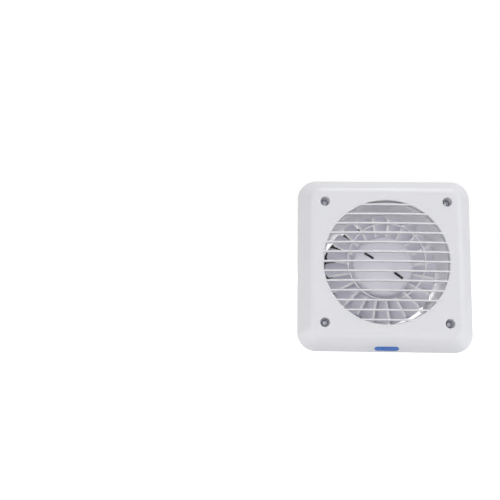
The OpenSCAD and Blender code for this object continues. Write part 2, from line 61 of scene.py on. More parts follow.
COVER_HALF, COVER_DEPTH = room_box("front_cover")[1][0], 31.0
COVER_SLOPE = math.radians(29.9)
COVER_SKIN = 2.2
COVER_CORNER = 22.0
FLAT_HALF = 81.0
SHOULDER_R = 9.0
RIM_HEIGHT, RIM_DRAFT = 2.5, 0.4
INLET_R = 73.0
COLLAR_BACK = COVER_DEPTH - 8.0
SCREW_HALF = 71.5
SCREW_CORNERS = [(x, up) for x in (-SCREW_HALF, SCREW_HALF) for up in (-SCREW_HALF, SCREW_HALF)]
CUP_R, CUP_MOUTH_R, CUP_WALL, CUP_FLOOR = 5.2, 5.8, 1.8, COVER_DEPTH - 11.0
SCREW_HOLE_R = 2.2
# Of a screw: head radius, head height, shank radius
COVER_SCREW, BRACKET_SCREW, MOTOR_SCREW = (4.0, 2.6, 1.9), (3.1, 2.0, 1.4), (3.6, 2.6, 2.0)
BRACKET_SCREW_CIRCLE, BRACKET_SCREW_ANGLES = 67.5, (90, 210, 330)
MOTOR_SCREW_X = 24.0

LOUVRES, LOUVRE_PITCH, LOUVRE_T, LOUVRE_DEPTH = 13, 11.3, 2.0, 9.0
GRILLE_R, GRILLE_RISE = 81.0, 5.0
RING_R, RING_T, RING_BEHIND = 45.0, 1.2, 3.5

IMPELLER_LOW, IMPELLER_HIGH = room_box("impeller_hub")
BLADES, FIRST_BLADE = 20, 9.0
TIP_R = 68.0
HUB_APEX, HUB_DOME_R = IMPELLER_HIGH[2], 160.0
HUB_FRONT_R, HUB_REAR_R, HUB_EDGE_R, HUB_WALL = 36.0, 39.5, 7.0, 2.0
HUB_BACK = IMPELLER_LOW[2]
BLADE_FRONT, BLADE_DEPTH, BLADE_RUN = -28.0, 18.0, 18.0
BLADE_CURVE, BLADE_T = 60.0, 1.8
SLOT_ANGLE, SLOT_R, SLOT_LENGTH, SLOT_WIDTH = 146.0, 21.0, 12.4, 3.2
HUB_BOSS_R, HUB_BOSS_BACK = 7.5, -30.0
SHAFT_R, SHAFT_FRONT = 3.0, -6.0

SPIGOT_R = 74.0
SPIGOT_BACK = room_box("air_tunnel")[0][2]

STACK_LOW, STACK_HIGH = room_box("stator_core")
STACK_BACK, STACK_FRONT = STACK_LOW[2], STACK_HIGH[2]
COIL_LOW, COIL_HIGH = room_box("coil_winding")


# ---- Small tools for points and meshes ----


def at(x, up, out):
    """A point of the room's view, in millimetres, as a point of the frame."""
    return Vector((x, -out, up)) * MM


def rounded(points, steps=5, closed=True):
    """Rounds the corners of a run of (a, b, radius) points with arcs.

    Returns points of (a, b, index of the corner that the point belongs to).
    """
    made = []
    count = len(points)
    for i, (a, b, radius) in enumerate(points):
        here = Vector((a, b))
        ends = not closed and i in (0, count - 1)
        if radius <= 0 or ends:
            made.append((a, b, i))
            continue
        before = (Vector(points[i - 1][:2]) - here).normalized()
        after = (Vector(points[(i + 1) % count][:2]) - here).normalized()
        half = math.acos(max(-1.0, min(1.0, before.dot(after)))) / 2
        middle = here + (before + after).normalized() * (radius / math.sin(half))
        start = here + before * (radius / math.tan(half)) - middle
        turn = start.angle_signed(here + after * (radius / math.tan(half)) - middle)
        for s in range(steps + 1):
            angle = -turn * s / steps
            c, n = math.cos(angle), math.sin(angle)
            made.append((middle.x + start.x * c - start.y * n,
                         middle.y + start.x * n + start.y * c, i))
    return made


def new_mesh(name, points, faces):
    """An object from room points in millimetres, with its faces turned outwards."""
    mesh = bpy.data.meshes.new(name)
    mesh.from_pydata([at(*p) for p in points], [], faces)
    bm = bmesh.new()
    bm.from_mesh(mesh)
    bmesh.ops.remove_doubles(bm, verts=bm.verts, dist=1e-7)
    bmesh.ops.recalc_face_normals(bm, faces=bm.faces)
    bm.to_mesh(mesh)
    bm.free()
    obj = bpy.data.objects.new(name, mesh)
    bpy.context.scene.collection.objects.link(obj)
    return obj


def loft(name, rings):
    """A closed skin through rings of equal length, the last ring joined to the first."""
    size = len(rings[0])
    points = [p for ring in rings for p in ring]
    faces = []
    for i in range(len(rings)):
        j = (i + 1) % len(rings)
        for k in range(size):
            n = (k + 1) % size
            faces.append((i * size + k, i * size + n, j * size + n, j * size + k))
    return new_mesh(name, points, faces)


def capped_loft(name, rings):
    """A closed solid through rings of equal length, with a face on the first and the last."""
    size = len(rings[0])
    points = [p for ring in rings for p in ring]
    last = (len(rings) - 1) * size
    faces = [tuple(range(size)), tuple(last + k for k in reversed(range(size)))]
    for i in range(len(rings) - 1):
        for k in range(size):
            n = (k + 1) % size
            faces.append((i * size + k, i * size + n, (i + 1) * size + n, (i + 1) * size + k))
    return new_mesh(name, points, faces)


def lathe(name, profile, segments=96, centre=(0.0, 0.0)):
    """A solid of revolution about the out direction, from a closed run of (radius, out)."""
    points, index = [], {}
    for i, (r, out) in enumerate(profile):
        if r < 1e-6:
            index[i] = [len(points)] * segments
            points.append((centre[0], centre[1], out))
        else:
            index[i] = list(range(len(points), len(points) + segments))
            for k in range(segments):
                a = 2 * math.pi * k / segments
                points.append((centre[0] + r * math.cos(a), centre[1] + r * math.sin(a), out))
    faces = []
    for i in range(len(profile)):
        j = (i + 1) % len(profile)
        for k in range(segments):
            n = (k + 1) % segments
            face = []
            for v in (index[i][k], index[i][n], index[j][n], index[j][k]):
                if v not in face:
                    face.append(v)
            if len(face) > 2:
                faces.append(tuple(face))
    return new_mesh(name, points, faces)


def lathe_rounded(name, corners, segments=96, centre=(0.0, 0.0), steps=4):
    """A solid of revolution whose profile's corners are (radius, out, rounding)."""
    return lathe(name, [(r, out) for r, out, _ in rounded(corners, steps)], segments, centre)


def box_solid(name, x, up, out):
    """A plain block, used only to add to or cut from another solid."""
    points = [(a, b, c) for c in out for b in up for a in x]
    faces = [(0, 1, 3, 2), (4, 6, 7, 5), (0, 4, 5, 1), (2, 3, 7, 6), (0, 2, 6, 4), (1, 5, 7, 3)]
    return new_mesh(name, points, faces)


def turned(obj, angle):
    """The object's mesh turned about the duct axis, counter-clockwise as the room sees it."""
    c, s = math.cos(math.radians(angle)), math.sin(math.radians(angle))
    for v in obj.data.vertices:
        x, up = v.co.x, v.co.z
        v.co.x, v.co.z = x * c - up * s, x * s + up * c
    return obj


def combine(obj, others, operation):
    """Joins the others to the object, or cuts them from it, and removes them."""
    for other in others:
        step = obj.modifiers.new("combine", "BOOLEAN")
        step.operation = operation
        step.object = other
        step.solver = "MANIFOLD"
    bpy.context.view_layer.update()
    ready = obj.evaluated_get(bpy.context.evaluated_depsgraph_get())
    mesh = bpy.data.meshes.new_from_object(ready)
    obj.modifiers.clear()
    obj.data = mesh
    mesh.name = obj.name
    for other in others:
        bpy.data.objects.remove(other)
    return obj


def smooth_shade(obj, angle=32.0):
    """Smooth shading that keeps the edges sharper than the angle, with flats left flat."""
    obj.data.shade_smooth()
    obj.data.set_sharp_from_angle(angle=math.radians(angle))
    weighted = obj.modifiers.new("normals", "WEIGHTED_NORMAL")
    weighted.keep_sharp = True
    return obj


def piece(obj, body, material, replaces=()):
    """Finishes a new piece: material, body and the CAD nodes that it stands for."""
    obj.data.materials.clear()
    obj.data.materials.append(material)
    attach(obj, body)
    if replaces:
        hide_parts(*replaces)
    return obj


# ---- Materials ----


def add_node(tree, kind, **inputs):
    """A new shader node with numbers on its sockets."""
    made = tree.nodes.new(kind)
    for name, value in inputs.items():
        made.inputs[name.replace("_", " ")].default_value = value
    return made


def base_material(name, metallic, roughness, coat=0.0, ior=1.5):
    """A new material with its node tree, its shader and the coordinates of the object."""
    made = bpy.data.materials.new(name)
    made.use_nodes = True
    tree = made.node_tree
    shader = tree.nodes["Principled BSDF"]
    shader.inputs["Metallic"].default_value = metallic
    shader.inputs["Roughness"].default_value = roughness
    shader.inputs["IOR"].default_value = ior
    shader.inputs["Coat Weight"].default_value = coat
    where = tree.nodes.new("ShaderNodeTexCoord").outputs["Object"]
    return made, tree, shader, where


def noise(tree, where, scale, detail=3.0):
    """Noise of a size and detail at the coordinates, from 0 to 1."""
    made = add_node(tree, "ShaderNodeTexNoise", Scale=scale, Detail=detail)
    tree.links.new(where, made.inputs["Vector"])
    return made.outputs["Fac"]


def colour_between(tree, factor, low, high, dark, light):
    """A colour that runs from dark to light as the factor goes from low to high."""
    ramp = tree.nodes.new("ShaderNodeValToRGB")
    ramp.color_ramp.elements[0].position = low
    ramp.color_ramp.elements[0].color = (*dark, 1)
    ramp.color_ramp.elements[1].position = high
    ramp.color_ramp.elements[1].color = (*light, 1)
    tree.links.new(factor, ramp.inputs["Fac"])
    return ramp.outputs["Color"]


def value_between(tree, factor, low, high):
    """A number that runs from low to high as the factor goes over its usual range."""
    made = add_node(tree, "ShaderNodeMapRange")
    for name, value in (("From Min", 0.3), ("From Max", 0.7), ("To Min", low), ("To Max", high)):
        made.inputs[name].default_value = value
    tree.links.new(factor, made.inputs["Value"])
    return made.outputs["Result"]


def bumps(tree, shader, height, strength, distance):
    """Bumps the shader's surface by a height."""
    made = add_node(tree, "ShaderNodeBump", Strength=strength, Distance=distance)
    tree.links.new(height, made.inputs["Height"])
    tree.links.new(made.outputs["Normal"], shader.inputs["Normal"])


def scaled(colour, share):
    """A colour made darker or lighter."""
    return tuple(min(1.0, c * share) for c in colour)


def plastic(name, colour, roughness, grain=2600.0, grain_depth=0.02, mottle=0.03, coat=0.0):
    """Moulded plastic: clouded by the mould's flow, with a spark-eroded grain and uneven gloss."""
    made, tree, shader, where = base_material(name, 0.0, roughness, coat)
    cloud = noise(tree, where, scale=38.0, detail=4.0)
    dark, light = scaled(colour, 1 - mottle), scaled(colour, 1 + mottle / 2)
    tone = colour_between(tree, cloud, 0.3, 0.7, dark, light)
    tree.links.new(tone, shader.inputs["Base Color"])
    fine = noise(tree, where, scale=grain, detail=2.0)
    gloss = noise(tree, where, scale=160.0, detail=5.0)
    uneven = value_between(tree, gloss, roughness - 0.05, roughness + 0.06)
    tree.links.new(uneven, shader.inputs["Roughness"])
    bumps(tree, shader, fine, strength=0.35, distance=grain_depth * MM)
    return made


def hub_plastic(name, colour, roughness, **details):
    """The impeller's plastic, with painted shade nearly black inside the hub's cup and a painted
    highlight pale on the blades' front edges.
    """
    # Painted shade colour for the inside of the hub's cup, and painted highlight colour for the
    # blades' front edges
    painted_shade_colour, painted_highlight_colour = (0.03, 0.03, 0.033, 1.0), (0.96, 0.96, 0.97, 1.0)
    cup_r, skin_share, edge_depth = 0.9 * HUB_FRONT_R, 0.85, 0.35
    made = plastic(name, colour, roughness, **details)
    tree = made.node_tree
    shader = tree.nodes["Principled BSDF"]
    plain_tone = shader.inputs["Base Color"].links[0].from_socket
    place = tree.nodes.new("ShaderNodeSeparateXYZ")
    tree.links.new(tree.nodes["Texture Coordinate"].outputs["Object"], place.inputs["Vector"])

    def sum_of(kind, first, second):
        """A maths node on two values, each a number or a socket."""
        step = tree.nodes.new("ShaderNodeMath")
        step.operation = kind
        for socket, value in zip(step.inputs, (first, second)):
            if isinstance(value, float):
                socket.default_value = value
            else:
                tree.links.new(value, socket)
        return step.outputs["Value"]

    def mixed(factor, first, second):
        """The first colour, or the second where the factor is 1."""
        mix = tree.nodes.new("ShaderNodeMix")
        mix.data_type = "RGBA"
        tree.links.new(factor, mix.inputs[0])
        tree.links.new(first, mix.inputs[6])
        mix.inputs[7].default_value = second
        return mix.outputs[2]

    x, y, z = (place.outputs[axis] for axis in "XYZ")
    spread = sum_of("ADD", sum_of("MULTIPLY", x, x), sum_of("MULTIPLY", z, z))
    within = sum_of("LESS_THAN", spread, (cup_r * MM) ** 2)
    face = sum_of("MULTIPLY", spread, 0.5 / (HUB_DOME_R * MM))
    behind = sum_of("GREATER_THAN", sum_of("SUBTRACT", y, face),
                    (skin_share * HUB_WALL - HUB_APEX) * MM)
    on_blades = sum_of("GREATER_THAN", spread, (HUB_REAR_R * MM) ** 2)
    at_front = sum_of("LESS_THAN", y, (edge_depth - BLADE_FRONT) * MM)
    # Painted highlight: the blades' front edges, within edge_depth of their front, are made nearly
    # white
    pale = mixed(sum_of("MULTIPLY", on_blades, at_front), plain_tone, painted_highlight_colour)
    # Painted shade: the inside of the hub's cup, behind its front skin, is made nearly black
    with_painted_shade = mixed(sum_of("MULTIPLY", within, behind), pale, painted_shade_colour)
    tree.links.new(with_painted_shade, shader.inputs["Base Color"])
    return made


def metal(name, colour, roughness, stretch=(1.0, 1.0, 1.0), scale=900.0, depth=0.02):
    """Metal with marks drawn out along the directions of small stretch, and dull patches."""
    mottle = 0.12
    made, tree, shader, where = base_material(name, 1.0, roughness)
    drawn = tree.nodes.new("ShaderNodeMapping")
    drawn.inputs["Scale"].default_value = stretch
    tree.links.new(where, drawn.inputs["Vector"])
    marks = noise(tree, drawn.outputs["Vector"], scale, detail=4.0)
    patches = noise(tree, where, scale=140.0, detail=5.0)
    dark, light = scaled(colour, 1 - mottle), scaled(colour, 1 + mottle)
    tone = colour_between(tree, patches, 0.35, 0.68, dark, light)
    tree.links.new(tone, shader.inputs["Base Color"])
    uneven = value_between(tree, marks, roughness - 0.09, roughness + 0.12)
    tree.links.new(uneven, shader.inputs["Roughness"])
    bumps(tree, shader, marks, strength=0.4, distance=depth * MM)
    return made


def rubber(name, colour):
    """Soft black rubber with a bloom of paler dust."""
    made, tree, shader, where = base_material(name, 0.0, 0.75)
    dust = noise(tree, where, scale=300.0, detail=6.0)
    tone = colour_between(tree, dust, 0.4, 0.75, colour, scaled(colour, 1.9))
    tree.links.new(tone, shader.inputs["Base Color"])
    bumps(tree, shader, noise(tree, where, scale=4200.0), strength=0.4, distance=0.03 * MM)
    return made


def one_sided(made):
    """The material, but clear when it is seen from behind."""
    tree = made.node_tree
    clear = tree.nodes.new("ShaderNodeBsdfTransparent")
    mix = tree.nodes.new("ShaderNodeMixShader")
    tree.links.new(tree.nodes.new("ShaderNodeNewGeometry").outputs["Backfacing"], mix.inputs[0])
    tree.links.new(tree.nodes["Principled BSDF"].outputs[0], mix.inputs[1])
    tree.links.new(clear.outputs[0], mix.inputs[2])
    tree.links.new(mix.outputs[0], tree.nodes["Material Output"].inputs["Surface"])
    return made


def floor_paint(name, colour):
    """Pale paper that the camera sees as nearly even white, and that lights the fan as paper."""
    shown_strength, glow_share, camera_share = 1.36, 0.3, 0.7
    made, tree, shader, where = base_material(name, 0.0, 0.9)
    cloud = noise(tree, where, scale=1.5, detail=2.0)
    tone = colour_between(tree, cloud, 0.3, 0.7, scaled(colour, 0.99), colour)
    tree.links.new(tone, shader.inputs["Base Color"])
    shown = add_node(tree, "ShaderNodeEmission", Strength=shown_strength)
    ray = tree.nodes.new("ShaderNodeLightPath")
    share = add_node(tree, "ShaderNodeMapRange", To_Min=glow_share, To_Max=camera_share)
    mix = tree.nodes.new("ShaderNodeMixShader")
    tree.links.new(ray.outputs["Is Camera Ray"], share.inputs["Value"])
    tree.links.new(share.outputs["Result"], mix.inputs[0])
    tree.links.new(shader.outputs[0], mix.inputs[1])
    tree.links.new(shown.outputs[0], mix.inputs[2])
    tree.links.new(mix.outputs[0], tree.nodes["Material Output"].inputs["Surface"])
    return made


COVER = plastic("white_cover_plastic", (0.66, 0.66, 0.685), 0.54,
                grain=2300.0, grain_depth=0.012, mottle=0.012)
HOUSING = plastic("white_housing_plastic", (0.91, 0.905, 0.93), 0.5,
                  grain=2300.0, grain_depth=0.02, mottle=0.02)
IMPELLER = hub_plastic("impeller_plastic", (0.82, 0.808, 0.88), 0.42,
                       grain=2600.0, grain_depth=0.012, mottle=0.02)
BADGE = plastic("blue_badge_plastic", (0.022, 0.135, 0.47), 0.3,
                grain=1500.0, grain_depth=0.01, mottle=0.1, coat=0.4)
NYLON = plastic("natural_nylon", (0.78, 0.73, 0.58), 0.5, mottle=0.05)
TERMINAL = plastic("white_nylon", (0.80, 0.79, 0.74), 0.48, mottle=0.03)
BROWN = plastic("brown_insulation", (0.16, 0.055, 0.02), 0.42, mottle=0.1)
BLUE = plastic("blue_insulation", (0.03, 0.12, 0.42), 0.42, mottle=0.1)
SCREW = metal("zinc_plated_steel", (0.47, 0.47, 0.53), 0.5, scale=1500.0)
BRIDGE = metal("die_cast_zinc", (0.46, 0.465, 0.47), 0.5, scale=700.0, depth=0.05)
BRONZE = metal("sintered_bronze", (0.50, 0.32, 0.13), 0.48, scale=2600.0, depth=0.05)
SPRING = metal("spring_steel", (0.42, 0.43, 0.45), 0.3)
LAMINATION = metal("varnished_laminations", (0.30, 0.305, 0.32), 0.46,
                   stretch=(1, 6, 1), scale=900.0)
COPPER = metal("bare_copper", (0.66, 0.31, 0.17), 0.3)
ENAMEL = metal("enamelled_copper", (0.58, 0.22, 0.08), 0.26, scale=600.0, depth=0.01)
BRASS = metal("turned_brass", (0.74, 0.52, 0.18), 0.28, scale=1400.0)
SHAFT = metal("ground_steel", (0.66, 0.665, 0.68), 0.2, stretch=(1, 8, 1), scale=1600.0, depth=0.01)
ALUMINIUM = metal("cast_aluminium", (0.70, 0.705, 0.71), 0.42, scale=900.0, depth=0.04)
RUBBER = rubber("black_rubber", (0.035, 0.035, 0.037))


# ---- Front cover ----


def cover_corner(half):
    """Corner radius of the cover where its half width is half."""
    return COVER_CORNER - (COVER_HALF - half) / 2


def square_ring(half, corner_steps=18, side_steps=22):
    """Points round a rounded square from the middle of its right side, as many at any size."""
    corner = cover_corner(half)
    straight = half - corner
    quarter = [(half, straight * s / side_steps) for s in range(side_steps)]
    for s in range(corner_steps):
        a = math.pi / 2 * s / corner_steps
        quarter.append((straight + corner * math.cos(a), straight + corner * math.sin(a)))
    quarter += [(straight * (1 - s / side_steps), half) for s in range(side_steps)]
    made = []
    for turn in range(4):
        c, n = (1, 0, -1, 0)[turn], (0, 1, 0, -1)[turn]
        made += [(x * c - up * n, x * n + up * c) for x, up in quarter]
    return made


ROUND_ANGLES = [math.atan2(up, x) for x, up in square_ring(FLAT_HALF)]


def round_ring(radius):
    """Points round a circle, at the angles of the square ring's points."""
    return [(radius * math.cos(a), radius * math.sin(a)) for a in ROUND_ANGLES]


def cover_shell():
    """The moulded skin: inlet collar, flat front, rounded shoulder, slope and rim, and inside."""
    tangent = math.tan((math.pi / 2 - COVER_SLOPE) / 2)
    rim_half = COVER_HALF - RIM_DRAFT
    skin_across = COVER_SKIN / math.cos(COVER_SLOPE)
    inner_r = SHOULDER_R - COVER_SKIN
    section = [
        ("round", INLET_R, COLLAR_BACK, 0.4),
        ("round", INLET_R, COVER_DEPTH, 1.2),
        ("square", FLAT_HALF + SHOULDER_R * tangent, COVER_DEPTH, SHOULDER_R),
        ("square", rim_half, RIM_HEIGHT, 1.6),
        ("square", COVER_HALF, 0.0, 0.5),
        ("square", COVER_HALF - skin_across, 0.0, 0.5),
        ("square", rim_half - skin_across, RIM_HEIGHT, 1.0),
        ("square", FLAT_HALF + inner_r * tangent, COVER_DEPTH - COVER_SKIN, inner_r),
        ("round", INLET_R + COVER_SKIN, COVER_DEPTH - COVER_SKIN, 0.5),
        ("round", INLET_R + COVER_SKIN, COLLAR_BACK, 0.5),
    ]
    rings = []
    for across, out, corner in rounded([(a, o, r) for _, a, o, r in section], steps=7):
        kind = section[corner][0]
        flat = round_ring(across) if kind == "round" else square_ring(across)
        rings.append([(x, up, out) for x, up in flat])
    return loft("cover_shell", rings)


def grille_out(x, up):
    """How far out of the wall the gently domed grille's front is at a place."""
    below_flat = 0.03
    rise = GRILLE_RISE * (1 - (x * x + up * up) / GRILLE_R**2)
    return COVER_DEPTH - below_flat + rise


def louvre(up):
    """One bar across the inlet: it follows the dome, and its ends sink in the front."""
    nose_r, nose_steps, back_half, chamfer = LOUVRE_T / 2, 8, 0.6, 0.3
    in_skin = COVER_DEPTH - 1.8
    in_front = math.sqrt(GRILLE_R**2 - up**2)
    in_collar = math.sqrt((INLET_R + 1.2) ** 2 - up**2)

    def section(x, back=None):
        """The bar's outline at x: a round nose, and a back that is chamfered."""
        front = grille_out(x, up)
        back = front - LOUVRE_DEPTH if back is None else back
        nose = []
        for s in range(nose_steps + 1):
            a = math.pi * s / nose_steps
            nose.append((x, up + nose_r * math.cos(a), front - nose_r + nose_r * math.sin(a)))
        half = nose_r + (back_half - nose_r) * (front - back) / LOUVRE_DEPTH
        return nose + [(x, up - half, back + chamfer), (x, up - half + chamfer, back),
                       (x, up + half - chamfer, back), (x, up + half, back + chamfer)]

    halfway = (in_front + in_collar) / 2
    left = [section(x, in_skin) for x in (-in_front, -halfway, -in_collar)]
    right = [section(x, in_skin) for x in (in_collar, halfway, in_front)]
    steps, inside = 16, in_collar - 0.02
    middle = [section(-inside * math.cos(math.pi * i / steps)) for i in range(steps + 1)]
    return capped_loft("louvre", left + middle + right)


def screw_cups():
    """The solid round each cover screw's recess, and what is cut from it."""
    outer, segments, arc_steps = CUP_R + CUP_WALL, 64, 6
    below, above = CUP_FLOOR - 3, COVER_DEPTH + 2
    solid = [(0, CUP_FLOOR - 2, 0), (outer, CUP_FLOOR - 2, 0.4),
             (outer, COVER_DEPTH - 1, 0), (0, COVER_DEPTH - 1, 0)]
    cut = [(0, below, 0), (SCREW_HOLE_R, below, 0), (SCREW_HOLE_R, CUP_FLOOR, 0.3),
           (CUP_R - 0.4, CUP_FLOOR, 0.8), (CUP_R, COVER_DEPTH - 2.2, 2.0),
           (CUP_MOUTH_R, COVER_DEPTH, 0.9), (CUP_MOUTH_R + 1.5, COVER_DEPTH, 0),
           (CUP_MOUTH_R + 1.5, above, 0), (0, above, 0)]
    solids, cuts = [], []
    for place in SCREW_CORNERS:
        solids.append(lathe_rounded("cup", solid, segments, place))
        cuts.append(lathe_rounded("cup_cut", cut, segments, place, arc_steps))
    return solids, cuts


def build_front_cover():
    """The cover, its louvres, the ring behind them and the screw recesses, as one moulding."""
    cover = cover_shell()
    cover.name = "louvred_front_cover"
    cups, cuts = screw_cups()
    middle = (LOUVRES - 1) / 2
    bars = [louvre((i - middle) * LOUVRE_PITCH) for i in range(LOUVRES)]
    inner, outer = RING_R - RING_T / 2, RING_R + RING_T / 2
    back = grille_out(RING_R, 0) - LOUVRE_DEPTH
    front = grille_out(RING_R, 0) - RING_BEHIND
    ring = lathe_rounded("guard_ring", [(inner, back, 0.3), (outer, back, 0.3),
                                        (outer, front, 0.5), (inner, front, 0.5)], 160)
    combine(cover, cups + bars + [ring], "UNION")
    combine(cover, cuts, "DIFFERENCE")
    smooth_shade(cover)
    piece(cover, "fan_body", COVER, ["front_cover"])


# ---- Screws ----


def cross_head_screw(name, head_r, head_h, shank_r, shank_length, turn=20.0):
    """A pan-head screw with a cross recess: its head stands on out 0, its thread runs back."""
    root_r, head_steps = shank_r * 0.74, 8
    profile = [(0.0, head_h)]
    for s in range(1, head_steps + 1):
        a = math.pi / 2 * s / head_steps
        profile.append((head_r * math.sin(a), head_h * (0.35 + 0.65 * math.cos(a))))
    profile += [(head_r, 0.0), (shank_r, 0.0)]
    pitch = shank_r * 0.75
    out = -pitch
    while out > -shank_length + shank_r * 2:
        profile += [(shank_r, out + pitch * 0.35), (root_r, out + pitch * 0.1),
                    (root_r, out - pitch * 0.1)]
        out -= pitch
    profile += [(root_r, -shank_length + shank_r * 1.6), (0.0, -shank_length)]
    screw = lathe(name, profile, 40)
    arm, width = head_r * 0.58, head_r * 0.1
    deep = (head_h * 0.35, head_h * 1.5)
    cuts = [turned(box_solid("recess", (-arm, arm), (-width, width), deep), a)
            for a in (turn, turn + 90)]
    combine(screw, cuts, "DIFFERENCE")
    return screw


def moved(obj, x, up, out, flipped=False):
    """The object's mesh moved to a place, or turned over first so that it points the other way."""
    for v in obj.data.vertices:
        if flipped:
            v.co.x, v.co.y = -v.co.x, -v.co.y
        v.co += at(x, up, out)
    return obj


def joined(name, parts):
    """One object from several meshes."""
    bm = bmesh.new()
    for part in parts:
        bm.from_mesh(part.data)
        bpy.data.objects.remove(part)
    mesh = bpy.data.meshes.new(name)
    bm.to_mesh(mesh)
    bm.free()
    obj = bpy.data.objects.new(name, mesh)
    bpy.context.scene.collection.objects.link(obj)
    return obj


def build_screws():
    """All screws, each group in the place of its CAD node."""

    def screw_set(name, parts, node):
        group = smooth_shade(joined(name, parts), 40)
        piece(group, "fan_body", SCREW, [node])

    parts = [moved(cross_head_screw("screw", *COVER_SCREW, 15.0, 12 + 31 * i), *spot, CUP_FLOOR)
             for i, spot in enumerate(SCREW_CORNERS)]
    screw_set("cover_screw_set", parts, "cover_screws")

    out = room_box("bracket_screws")[0][2] + BRACKET_SCREW[1]
    parts = []
    for i, a in enumerate(BRACKET_SCREW_ANGLES):
        spot = (BRACKET_SCREW_CIRCLE * math.cos(math.radians(a)),
                BRACKET_SCREW_CIRCLE * math.sin(math.radians(a)))
        screw = cross_head_screw("screw", *BRACKET_SCREW, 12.0, 25 + 40 * i)
        parts.append(moved(screw, *spot, out, True))
    screw_set("bracket_screw_set", parts, "bracket_screws")

    low, high = room_box("motor_screws")
    out = high[2] - MOTOR_SCREW[1]
    parts = [moved(cross_head_screw("screw", *MOTOR_SCREW, out - low[2], 30), x, 0.0, out)
             for x in (-MOTOR_SCREW_X, MOTOR_SCREW_X)]
    screw_set("motor_screw_set", parts, "motor_screws")


# ---- Badge ----


def build_badge():
    """A plain blue strip with a low rim and a crowned middle, on the lower slope."""
    low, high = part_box("badge")
    centre = (low + high) / 2
    along_up, along_out = math.sin(COVER_SLOPE), math.cos(COVER_SLOPE)
    half_length, half_width, thickness = 10.2, 4.0, 0.6

    def outline(inset):
        """The strip's round-ended outline, moved in by inset."""
        made = []
        for end in (1, -1):
            for s in range(13):
                a = math.pi * (s / 12 - 0.5)
                reach = half_width - inset
                made.append((end * (half_length + reach * math.cos(a)), end * reach * math.sin(a)))
        return made

    # How far in and how high: side, rim, groove and crown
    levels = [(0.0, 0.0), (0.0, 0.35), (0.12, 0.52), (0.3, thickness), (0.55, thickness),
              (0.7, 0.42), (0.8, 0.4), (1.5, 0.5), (2.1, 0.55)]
    rings = []
    base = Vector((centre.x, -centre.y, centre.z)) / MM
    for inset, rise in levels:
        ring = []
        for across, up in outline(inset):
            out_shift = up * along_out + (rise - thickness / 2) * along_up
            up_shift = up * along_up - (rise - thickness / 2) * along_out
            ring.append((base.x + across, base.z + up_shift, base.y + out_shift))
        rings.append(ring)
    badge = capped_loft("blue_badge", rings)
    piece(smooth_shade(badge, 50), "fan_body", BADGE, ["badge"])


# ---- Impeller ----


def dome(radius):
    """How far out the hub's face is at a radius."""
    return HUB_APEX - HUB_DOME_R + math.sqrt(HUB_DOME_R**2 - radius**2)


def hub_solid():
    """The cup of the hub: a shallow dome, a round shoulder and a skirt that widens to the back."""
    face = [(r, dome(r), 0) for r in (0, 6, 12, 18, 24)]
    skirt = [(HUB_FRONT_R + 0.1, dome(30) - 0.6, HUB_EDGE_R - 1.2), (HUB_REAR_R, HUB_BACK, 0.5),
             (HUB_REAR_R - HUB_WALL, HUB_BACK, 0.5), (HUB_FRONT_R - HUB_WALL, -2.6, 3.0)]
    inside = [(r, dome(r) - HUB_WALL, 0) for r in (24, 12, 0)]
    return lathe_rounded("hub", face + skirt + inside, 120, steps=9)


def blade_solid():
    """One blade at angle 0: cambered, with a flat front, a thin back and rounded outer corners."""
    chord = math.hypot(BLADE_RUN, BLADE_DEPTH)
    bow = math.sqrt(BLADE_CURVE**2 - chord**2 / 4)
    middle_out = BLADE_FRONT - BLADE_DEPTH / 2
    centre = (-BLADE_RUN / 2 + bow * BLADE_DEPTH / chord, middle_out - bow * BLADE_RUN / chord)
    chord_steps, span_steps = 14, 16
    front_corner, back_corner = 5.0, 4.0
    root_depth, sunk, root_swell, swell_run, tip_spread = 2, 1.1, 1.1, 2.2, 0.1

    def hub_radius(out):
        """The hub's skirt at a height."""
        share = (-HUB_EDGE_R - out) / (-HUB_EDGE_R - HUB_BACK)
        return HUB_FRONT_R + (HUB_REAR_R - HUB_FRONT_R) * share

    def corner_cut(radius, size):
        """The share of the chord that a rounded corner takes away at a radius."""
        into = radius - (TIP_R - size)
        return 0.0 if into <= 0 else (size - math.sqrt(max(0.0, size**2 - into**2))) / chord

    rings = []
    for j in range(span_steps + 1):
        v = (j / span_steps) ** 0.8
        nominal = HUB_REAR_R - root_depth + (TIP_R - HUB_REAR_R + root_depth) * v
        u0, u1 = corner_cut(nominal, front_corner), 1 - corner_cut(nominal, back_corner)
        swell = root_swell * math.exp(-(nominal - HUB_REAR_R + root_depth) / swell_run)
        front_side, back_side = [], []
        for i in range(chord_steps + 1):
            spread = 0.5 - 0.5 * math.cos(math.pi * i / chord_steps)
            u = u0 + (u1 - u0) * spread
            level = BLADE_FRONT - BLADE_DEPTH * u
            nose = min(1.0, 0.6 + 0.3 * spread * chord)
            tail = min(1.0, 0.25 + (1 - spread) * 3.0) * min(1.0, (1 - spread) * chord / 0.35)
            half = (BLADE_T / 2 - 0.2 * u - 0.1 * v + swell) * nose * tail
            for side, into in ((1, front_side), (-1, back_side)):
                reach = BLADE_CURVE + side * half
                a = math.pi - math.asin((level - centre[1]) / reach)
                run = (centre[0] + reach * math.cos(a)) * (1 + tip_spread * v)
                out = centre[1] + reach * math.sin(a)
                radius = hub_radius(out) - sunk + (TIP_R - hub_radius(out) + sunk) * v
                turn = run / radius
                into.append((radius * math.cos(turn), radius * math.sin(turn), out))
        rings.append(front_side + back_side[-2::-1])
    return capped_loft("blade", rings)


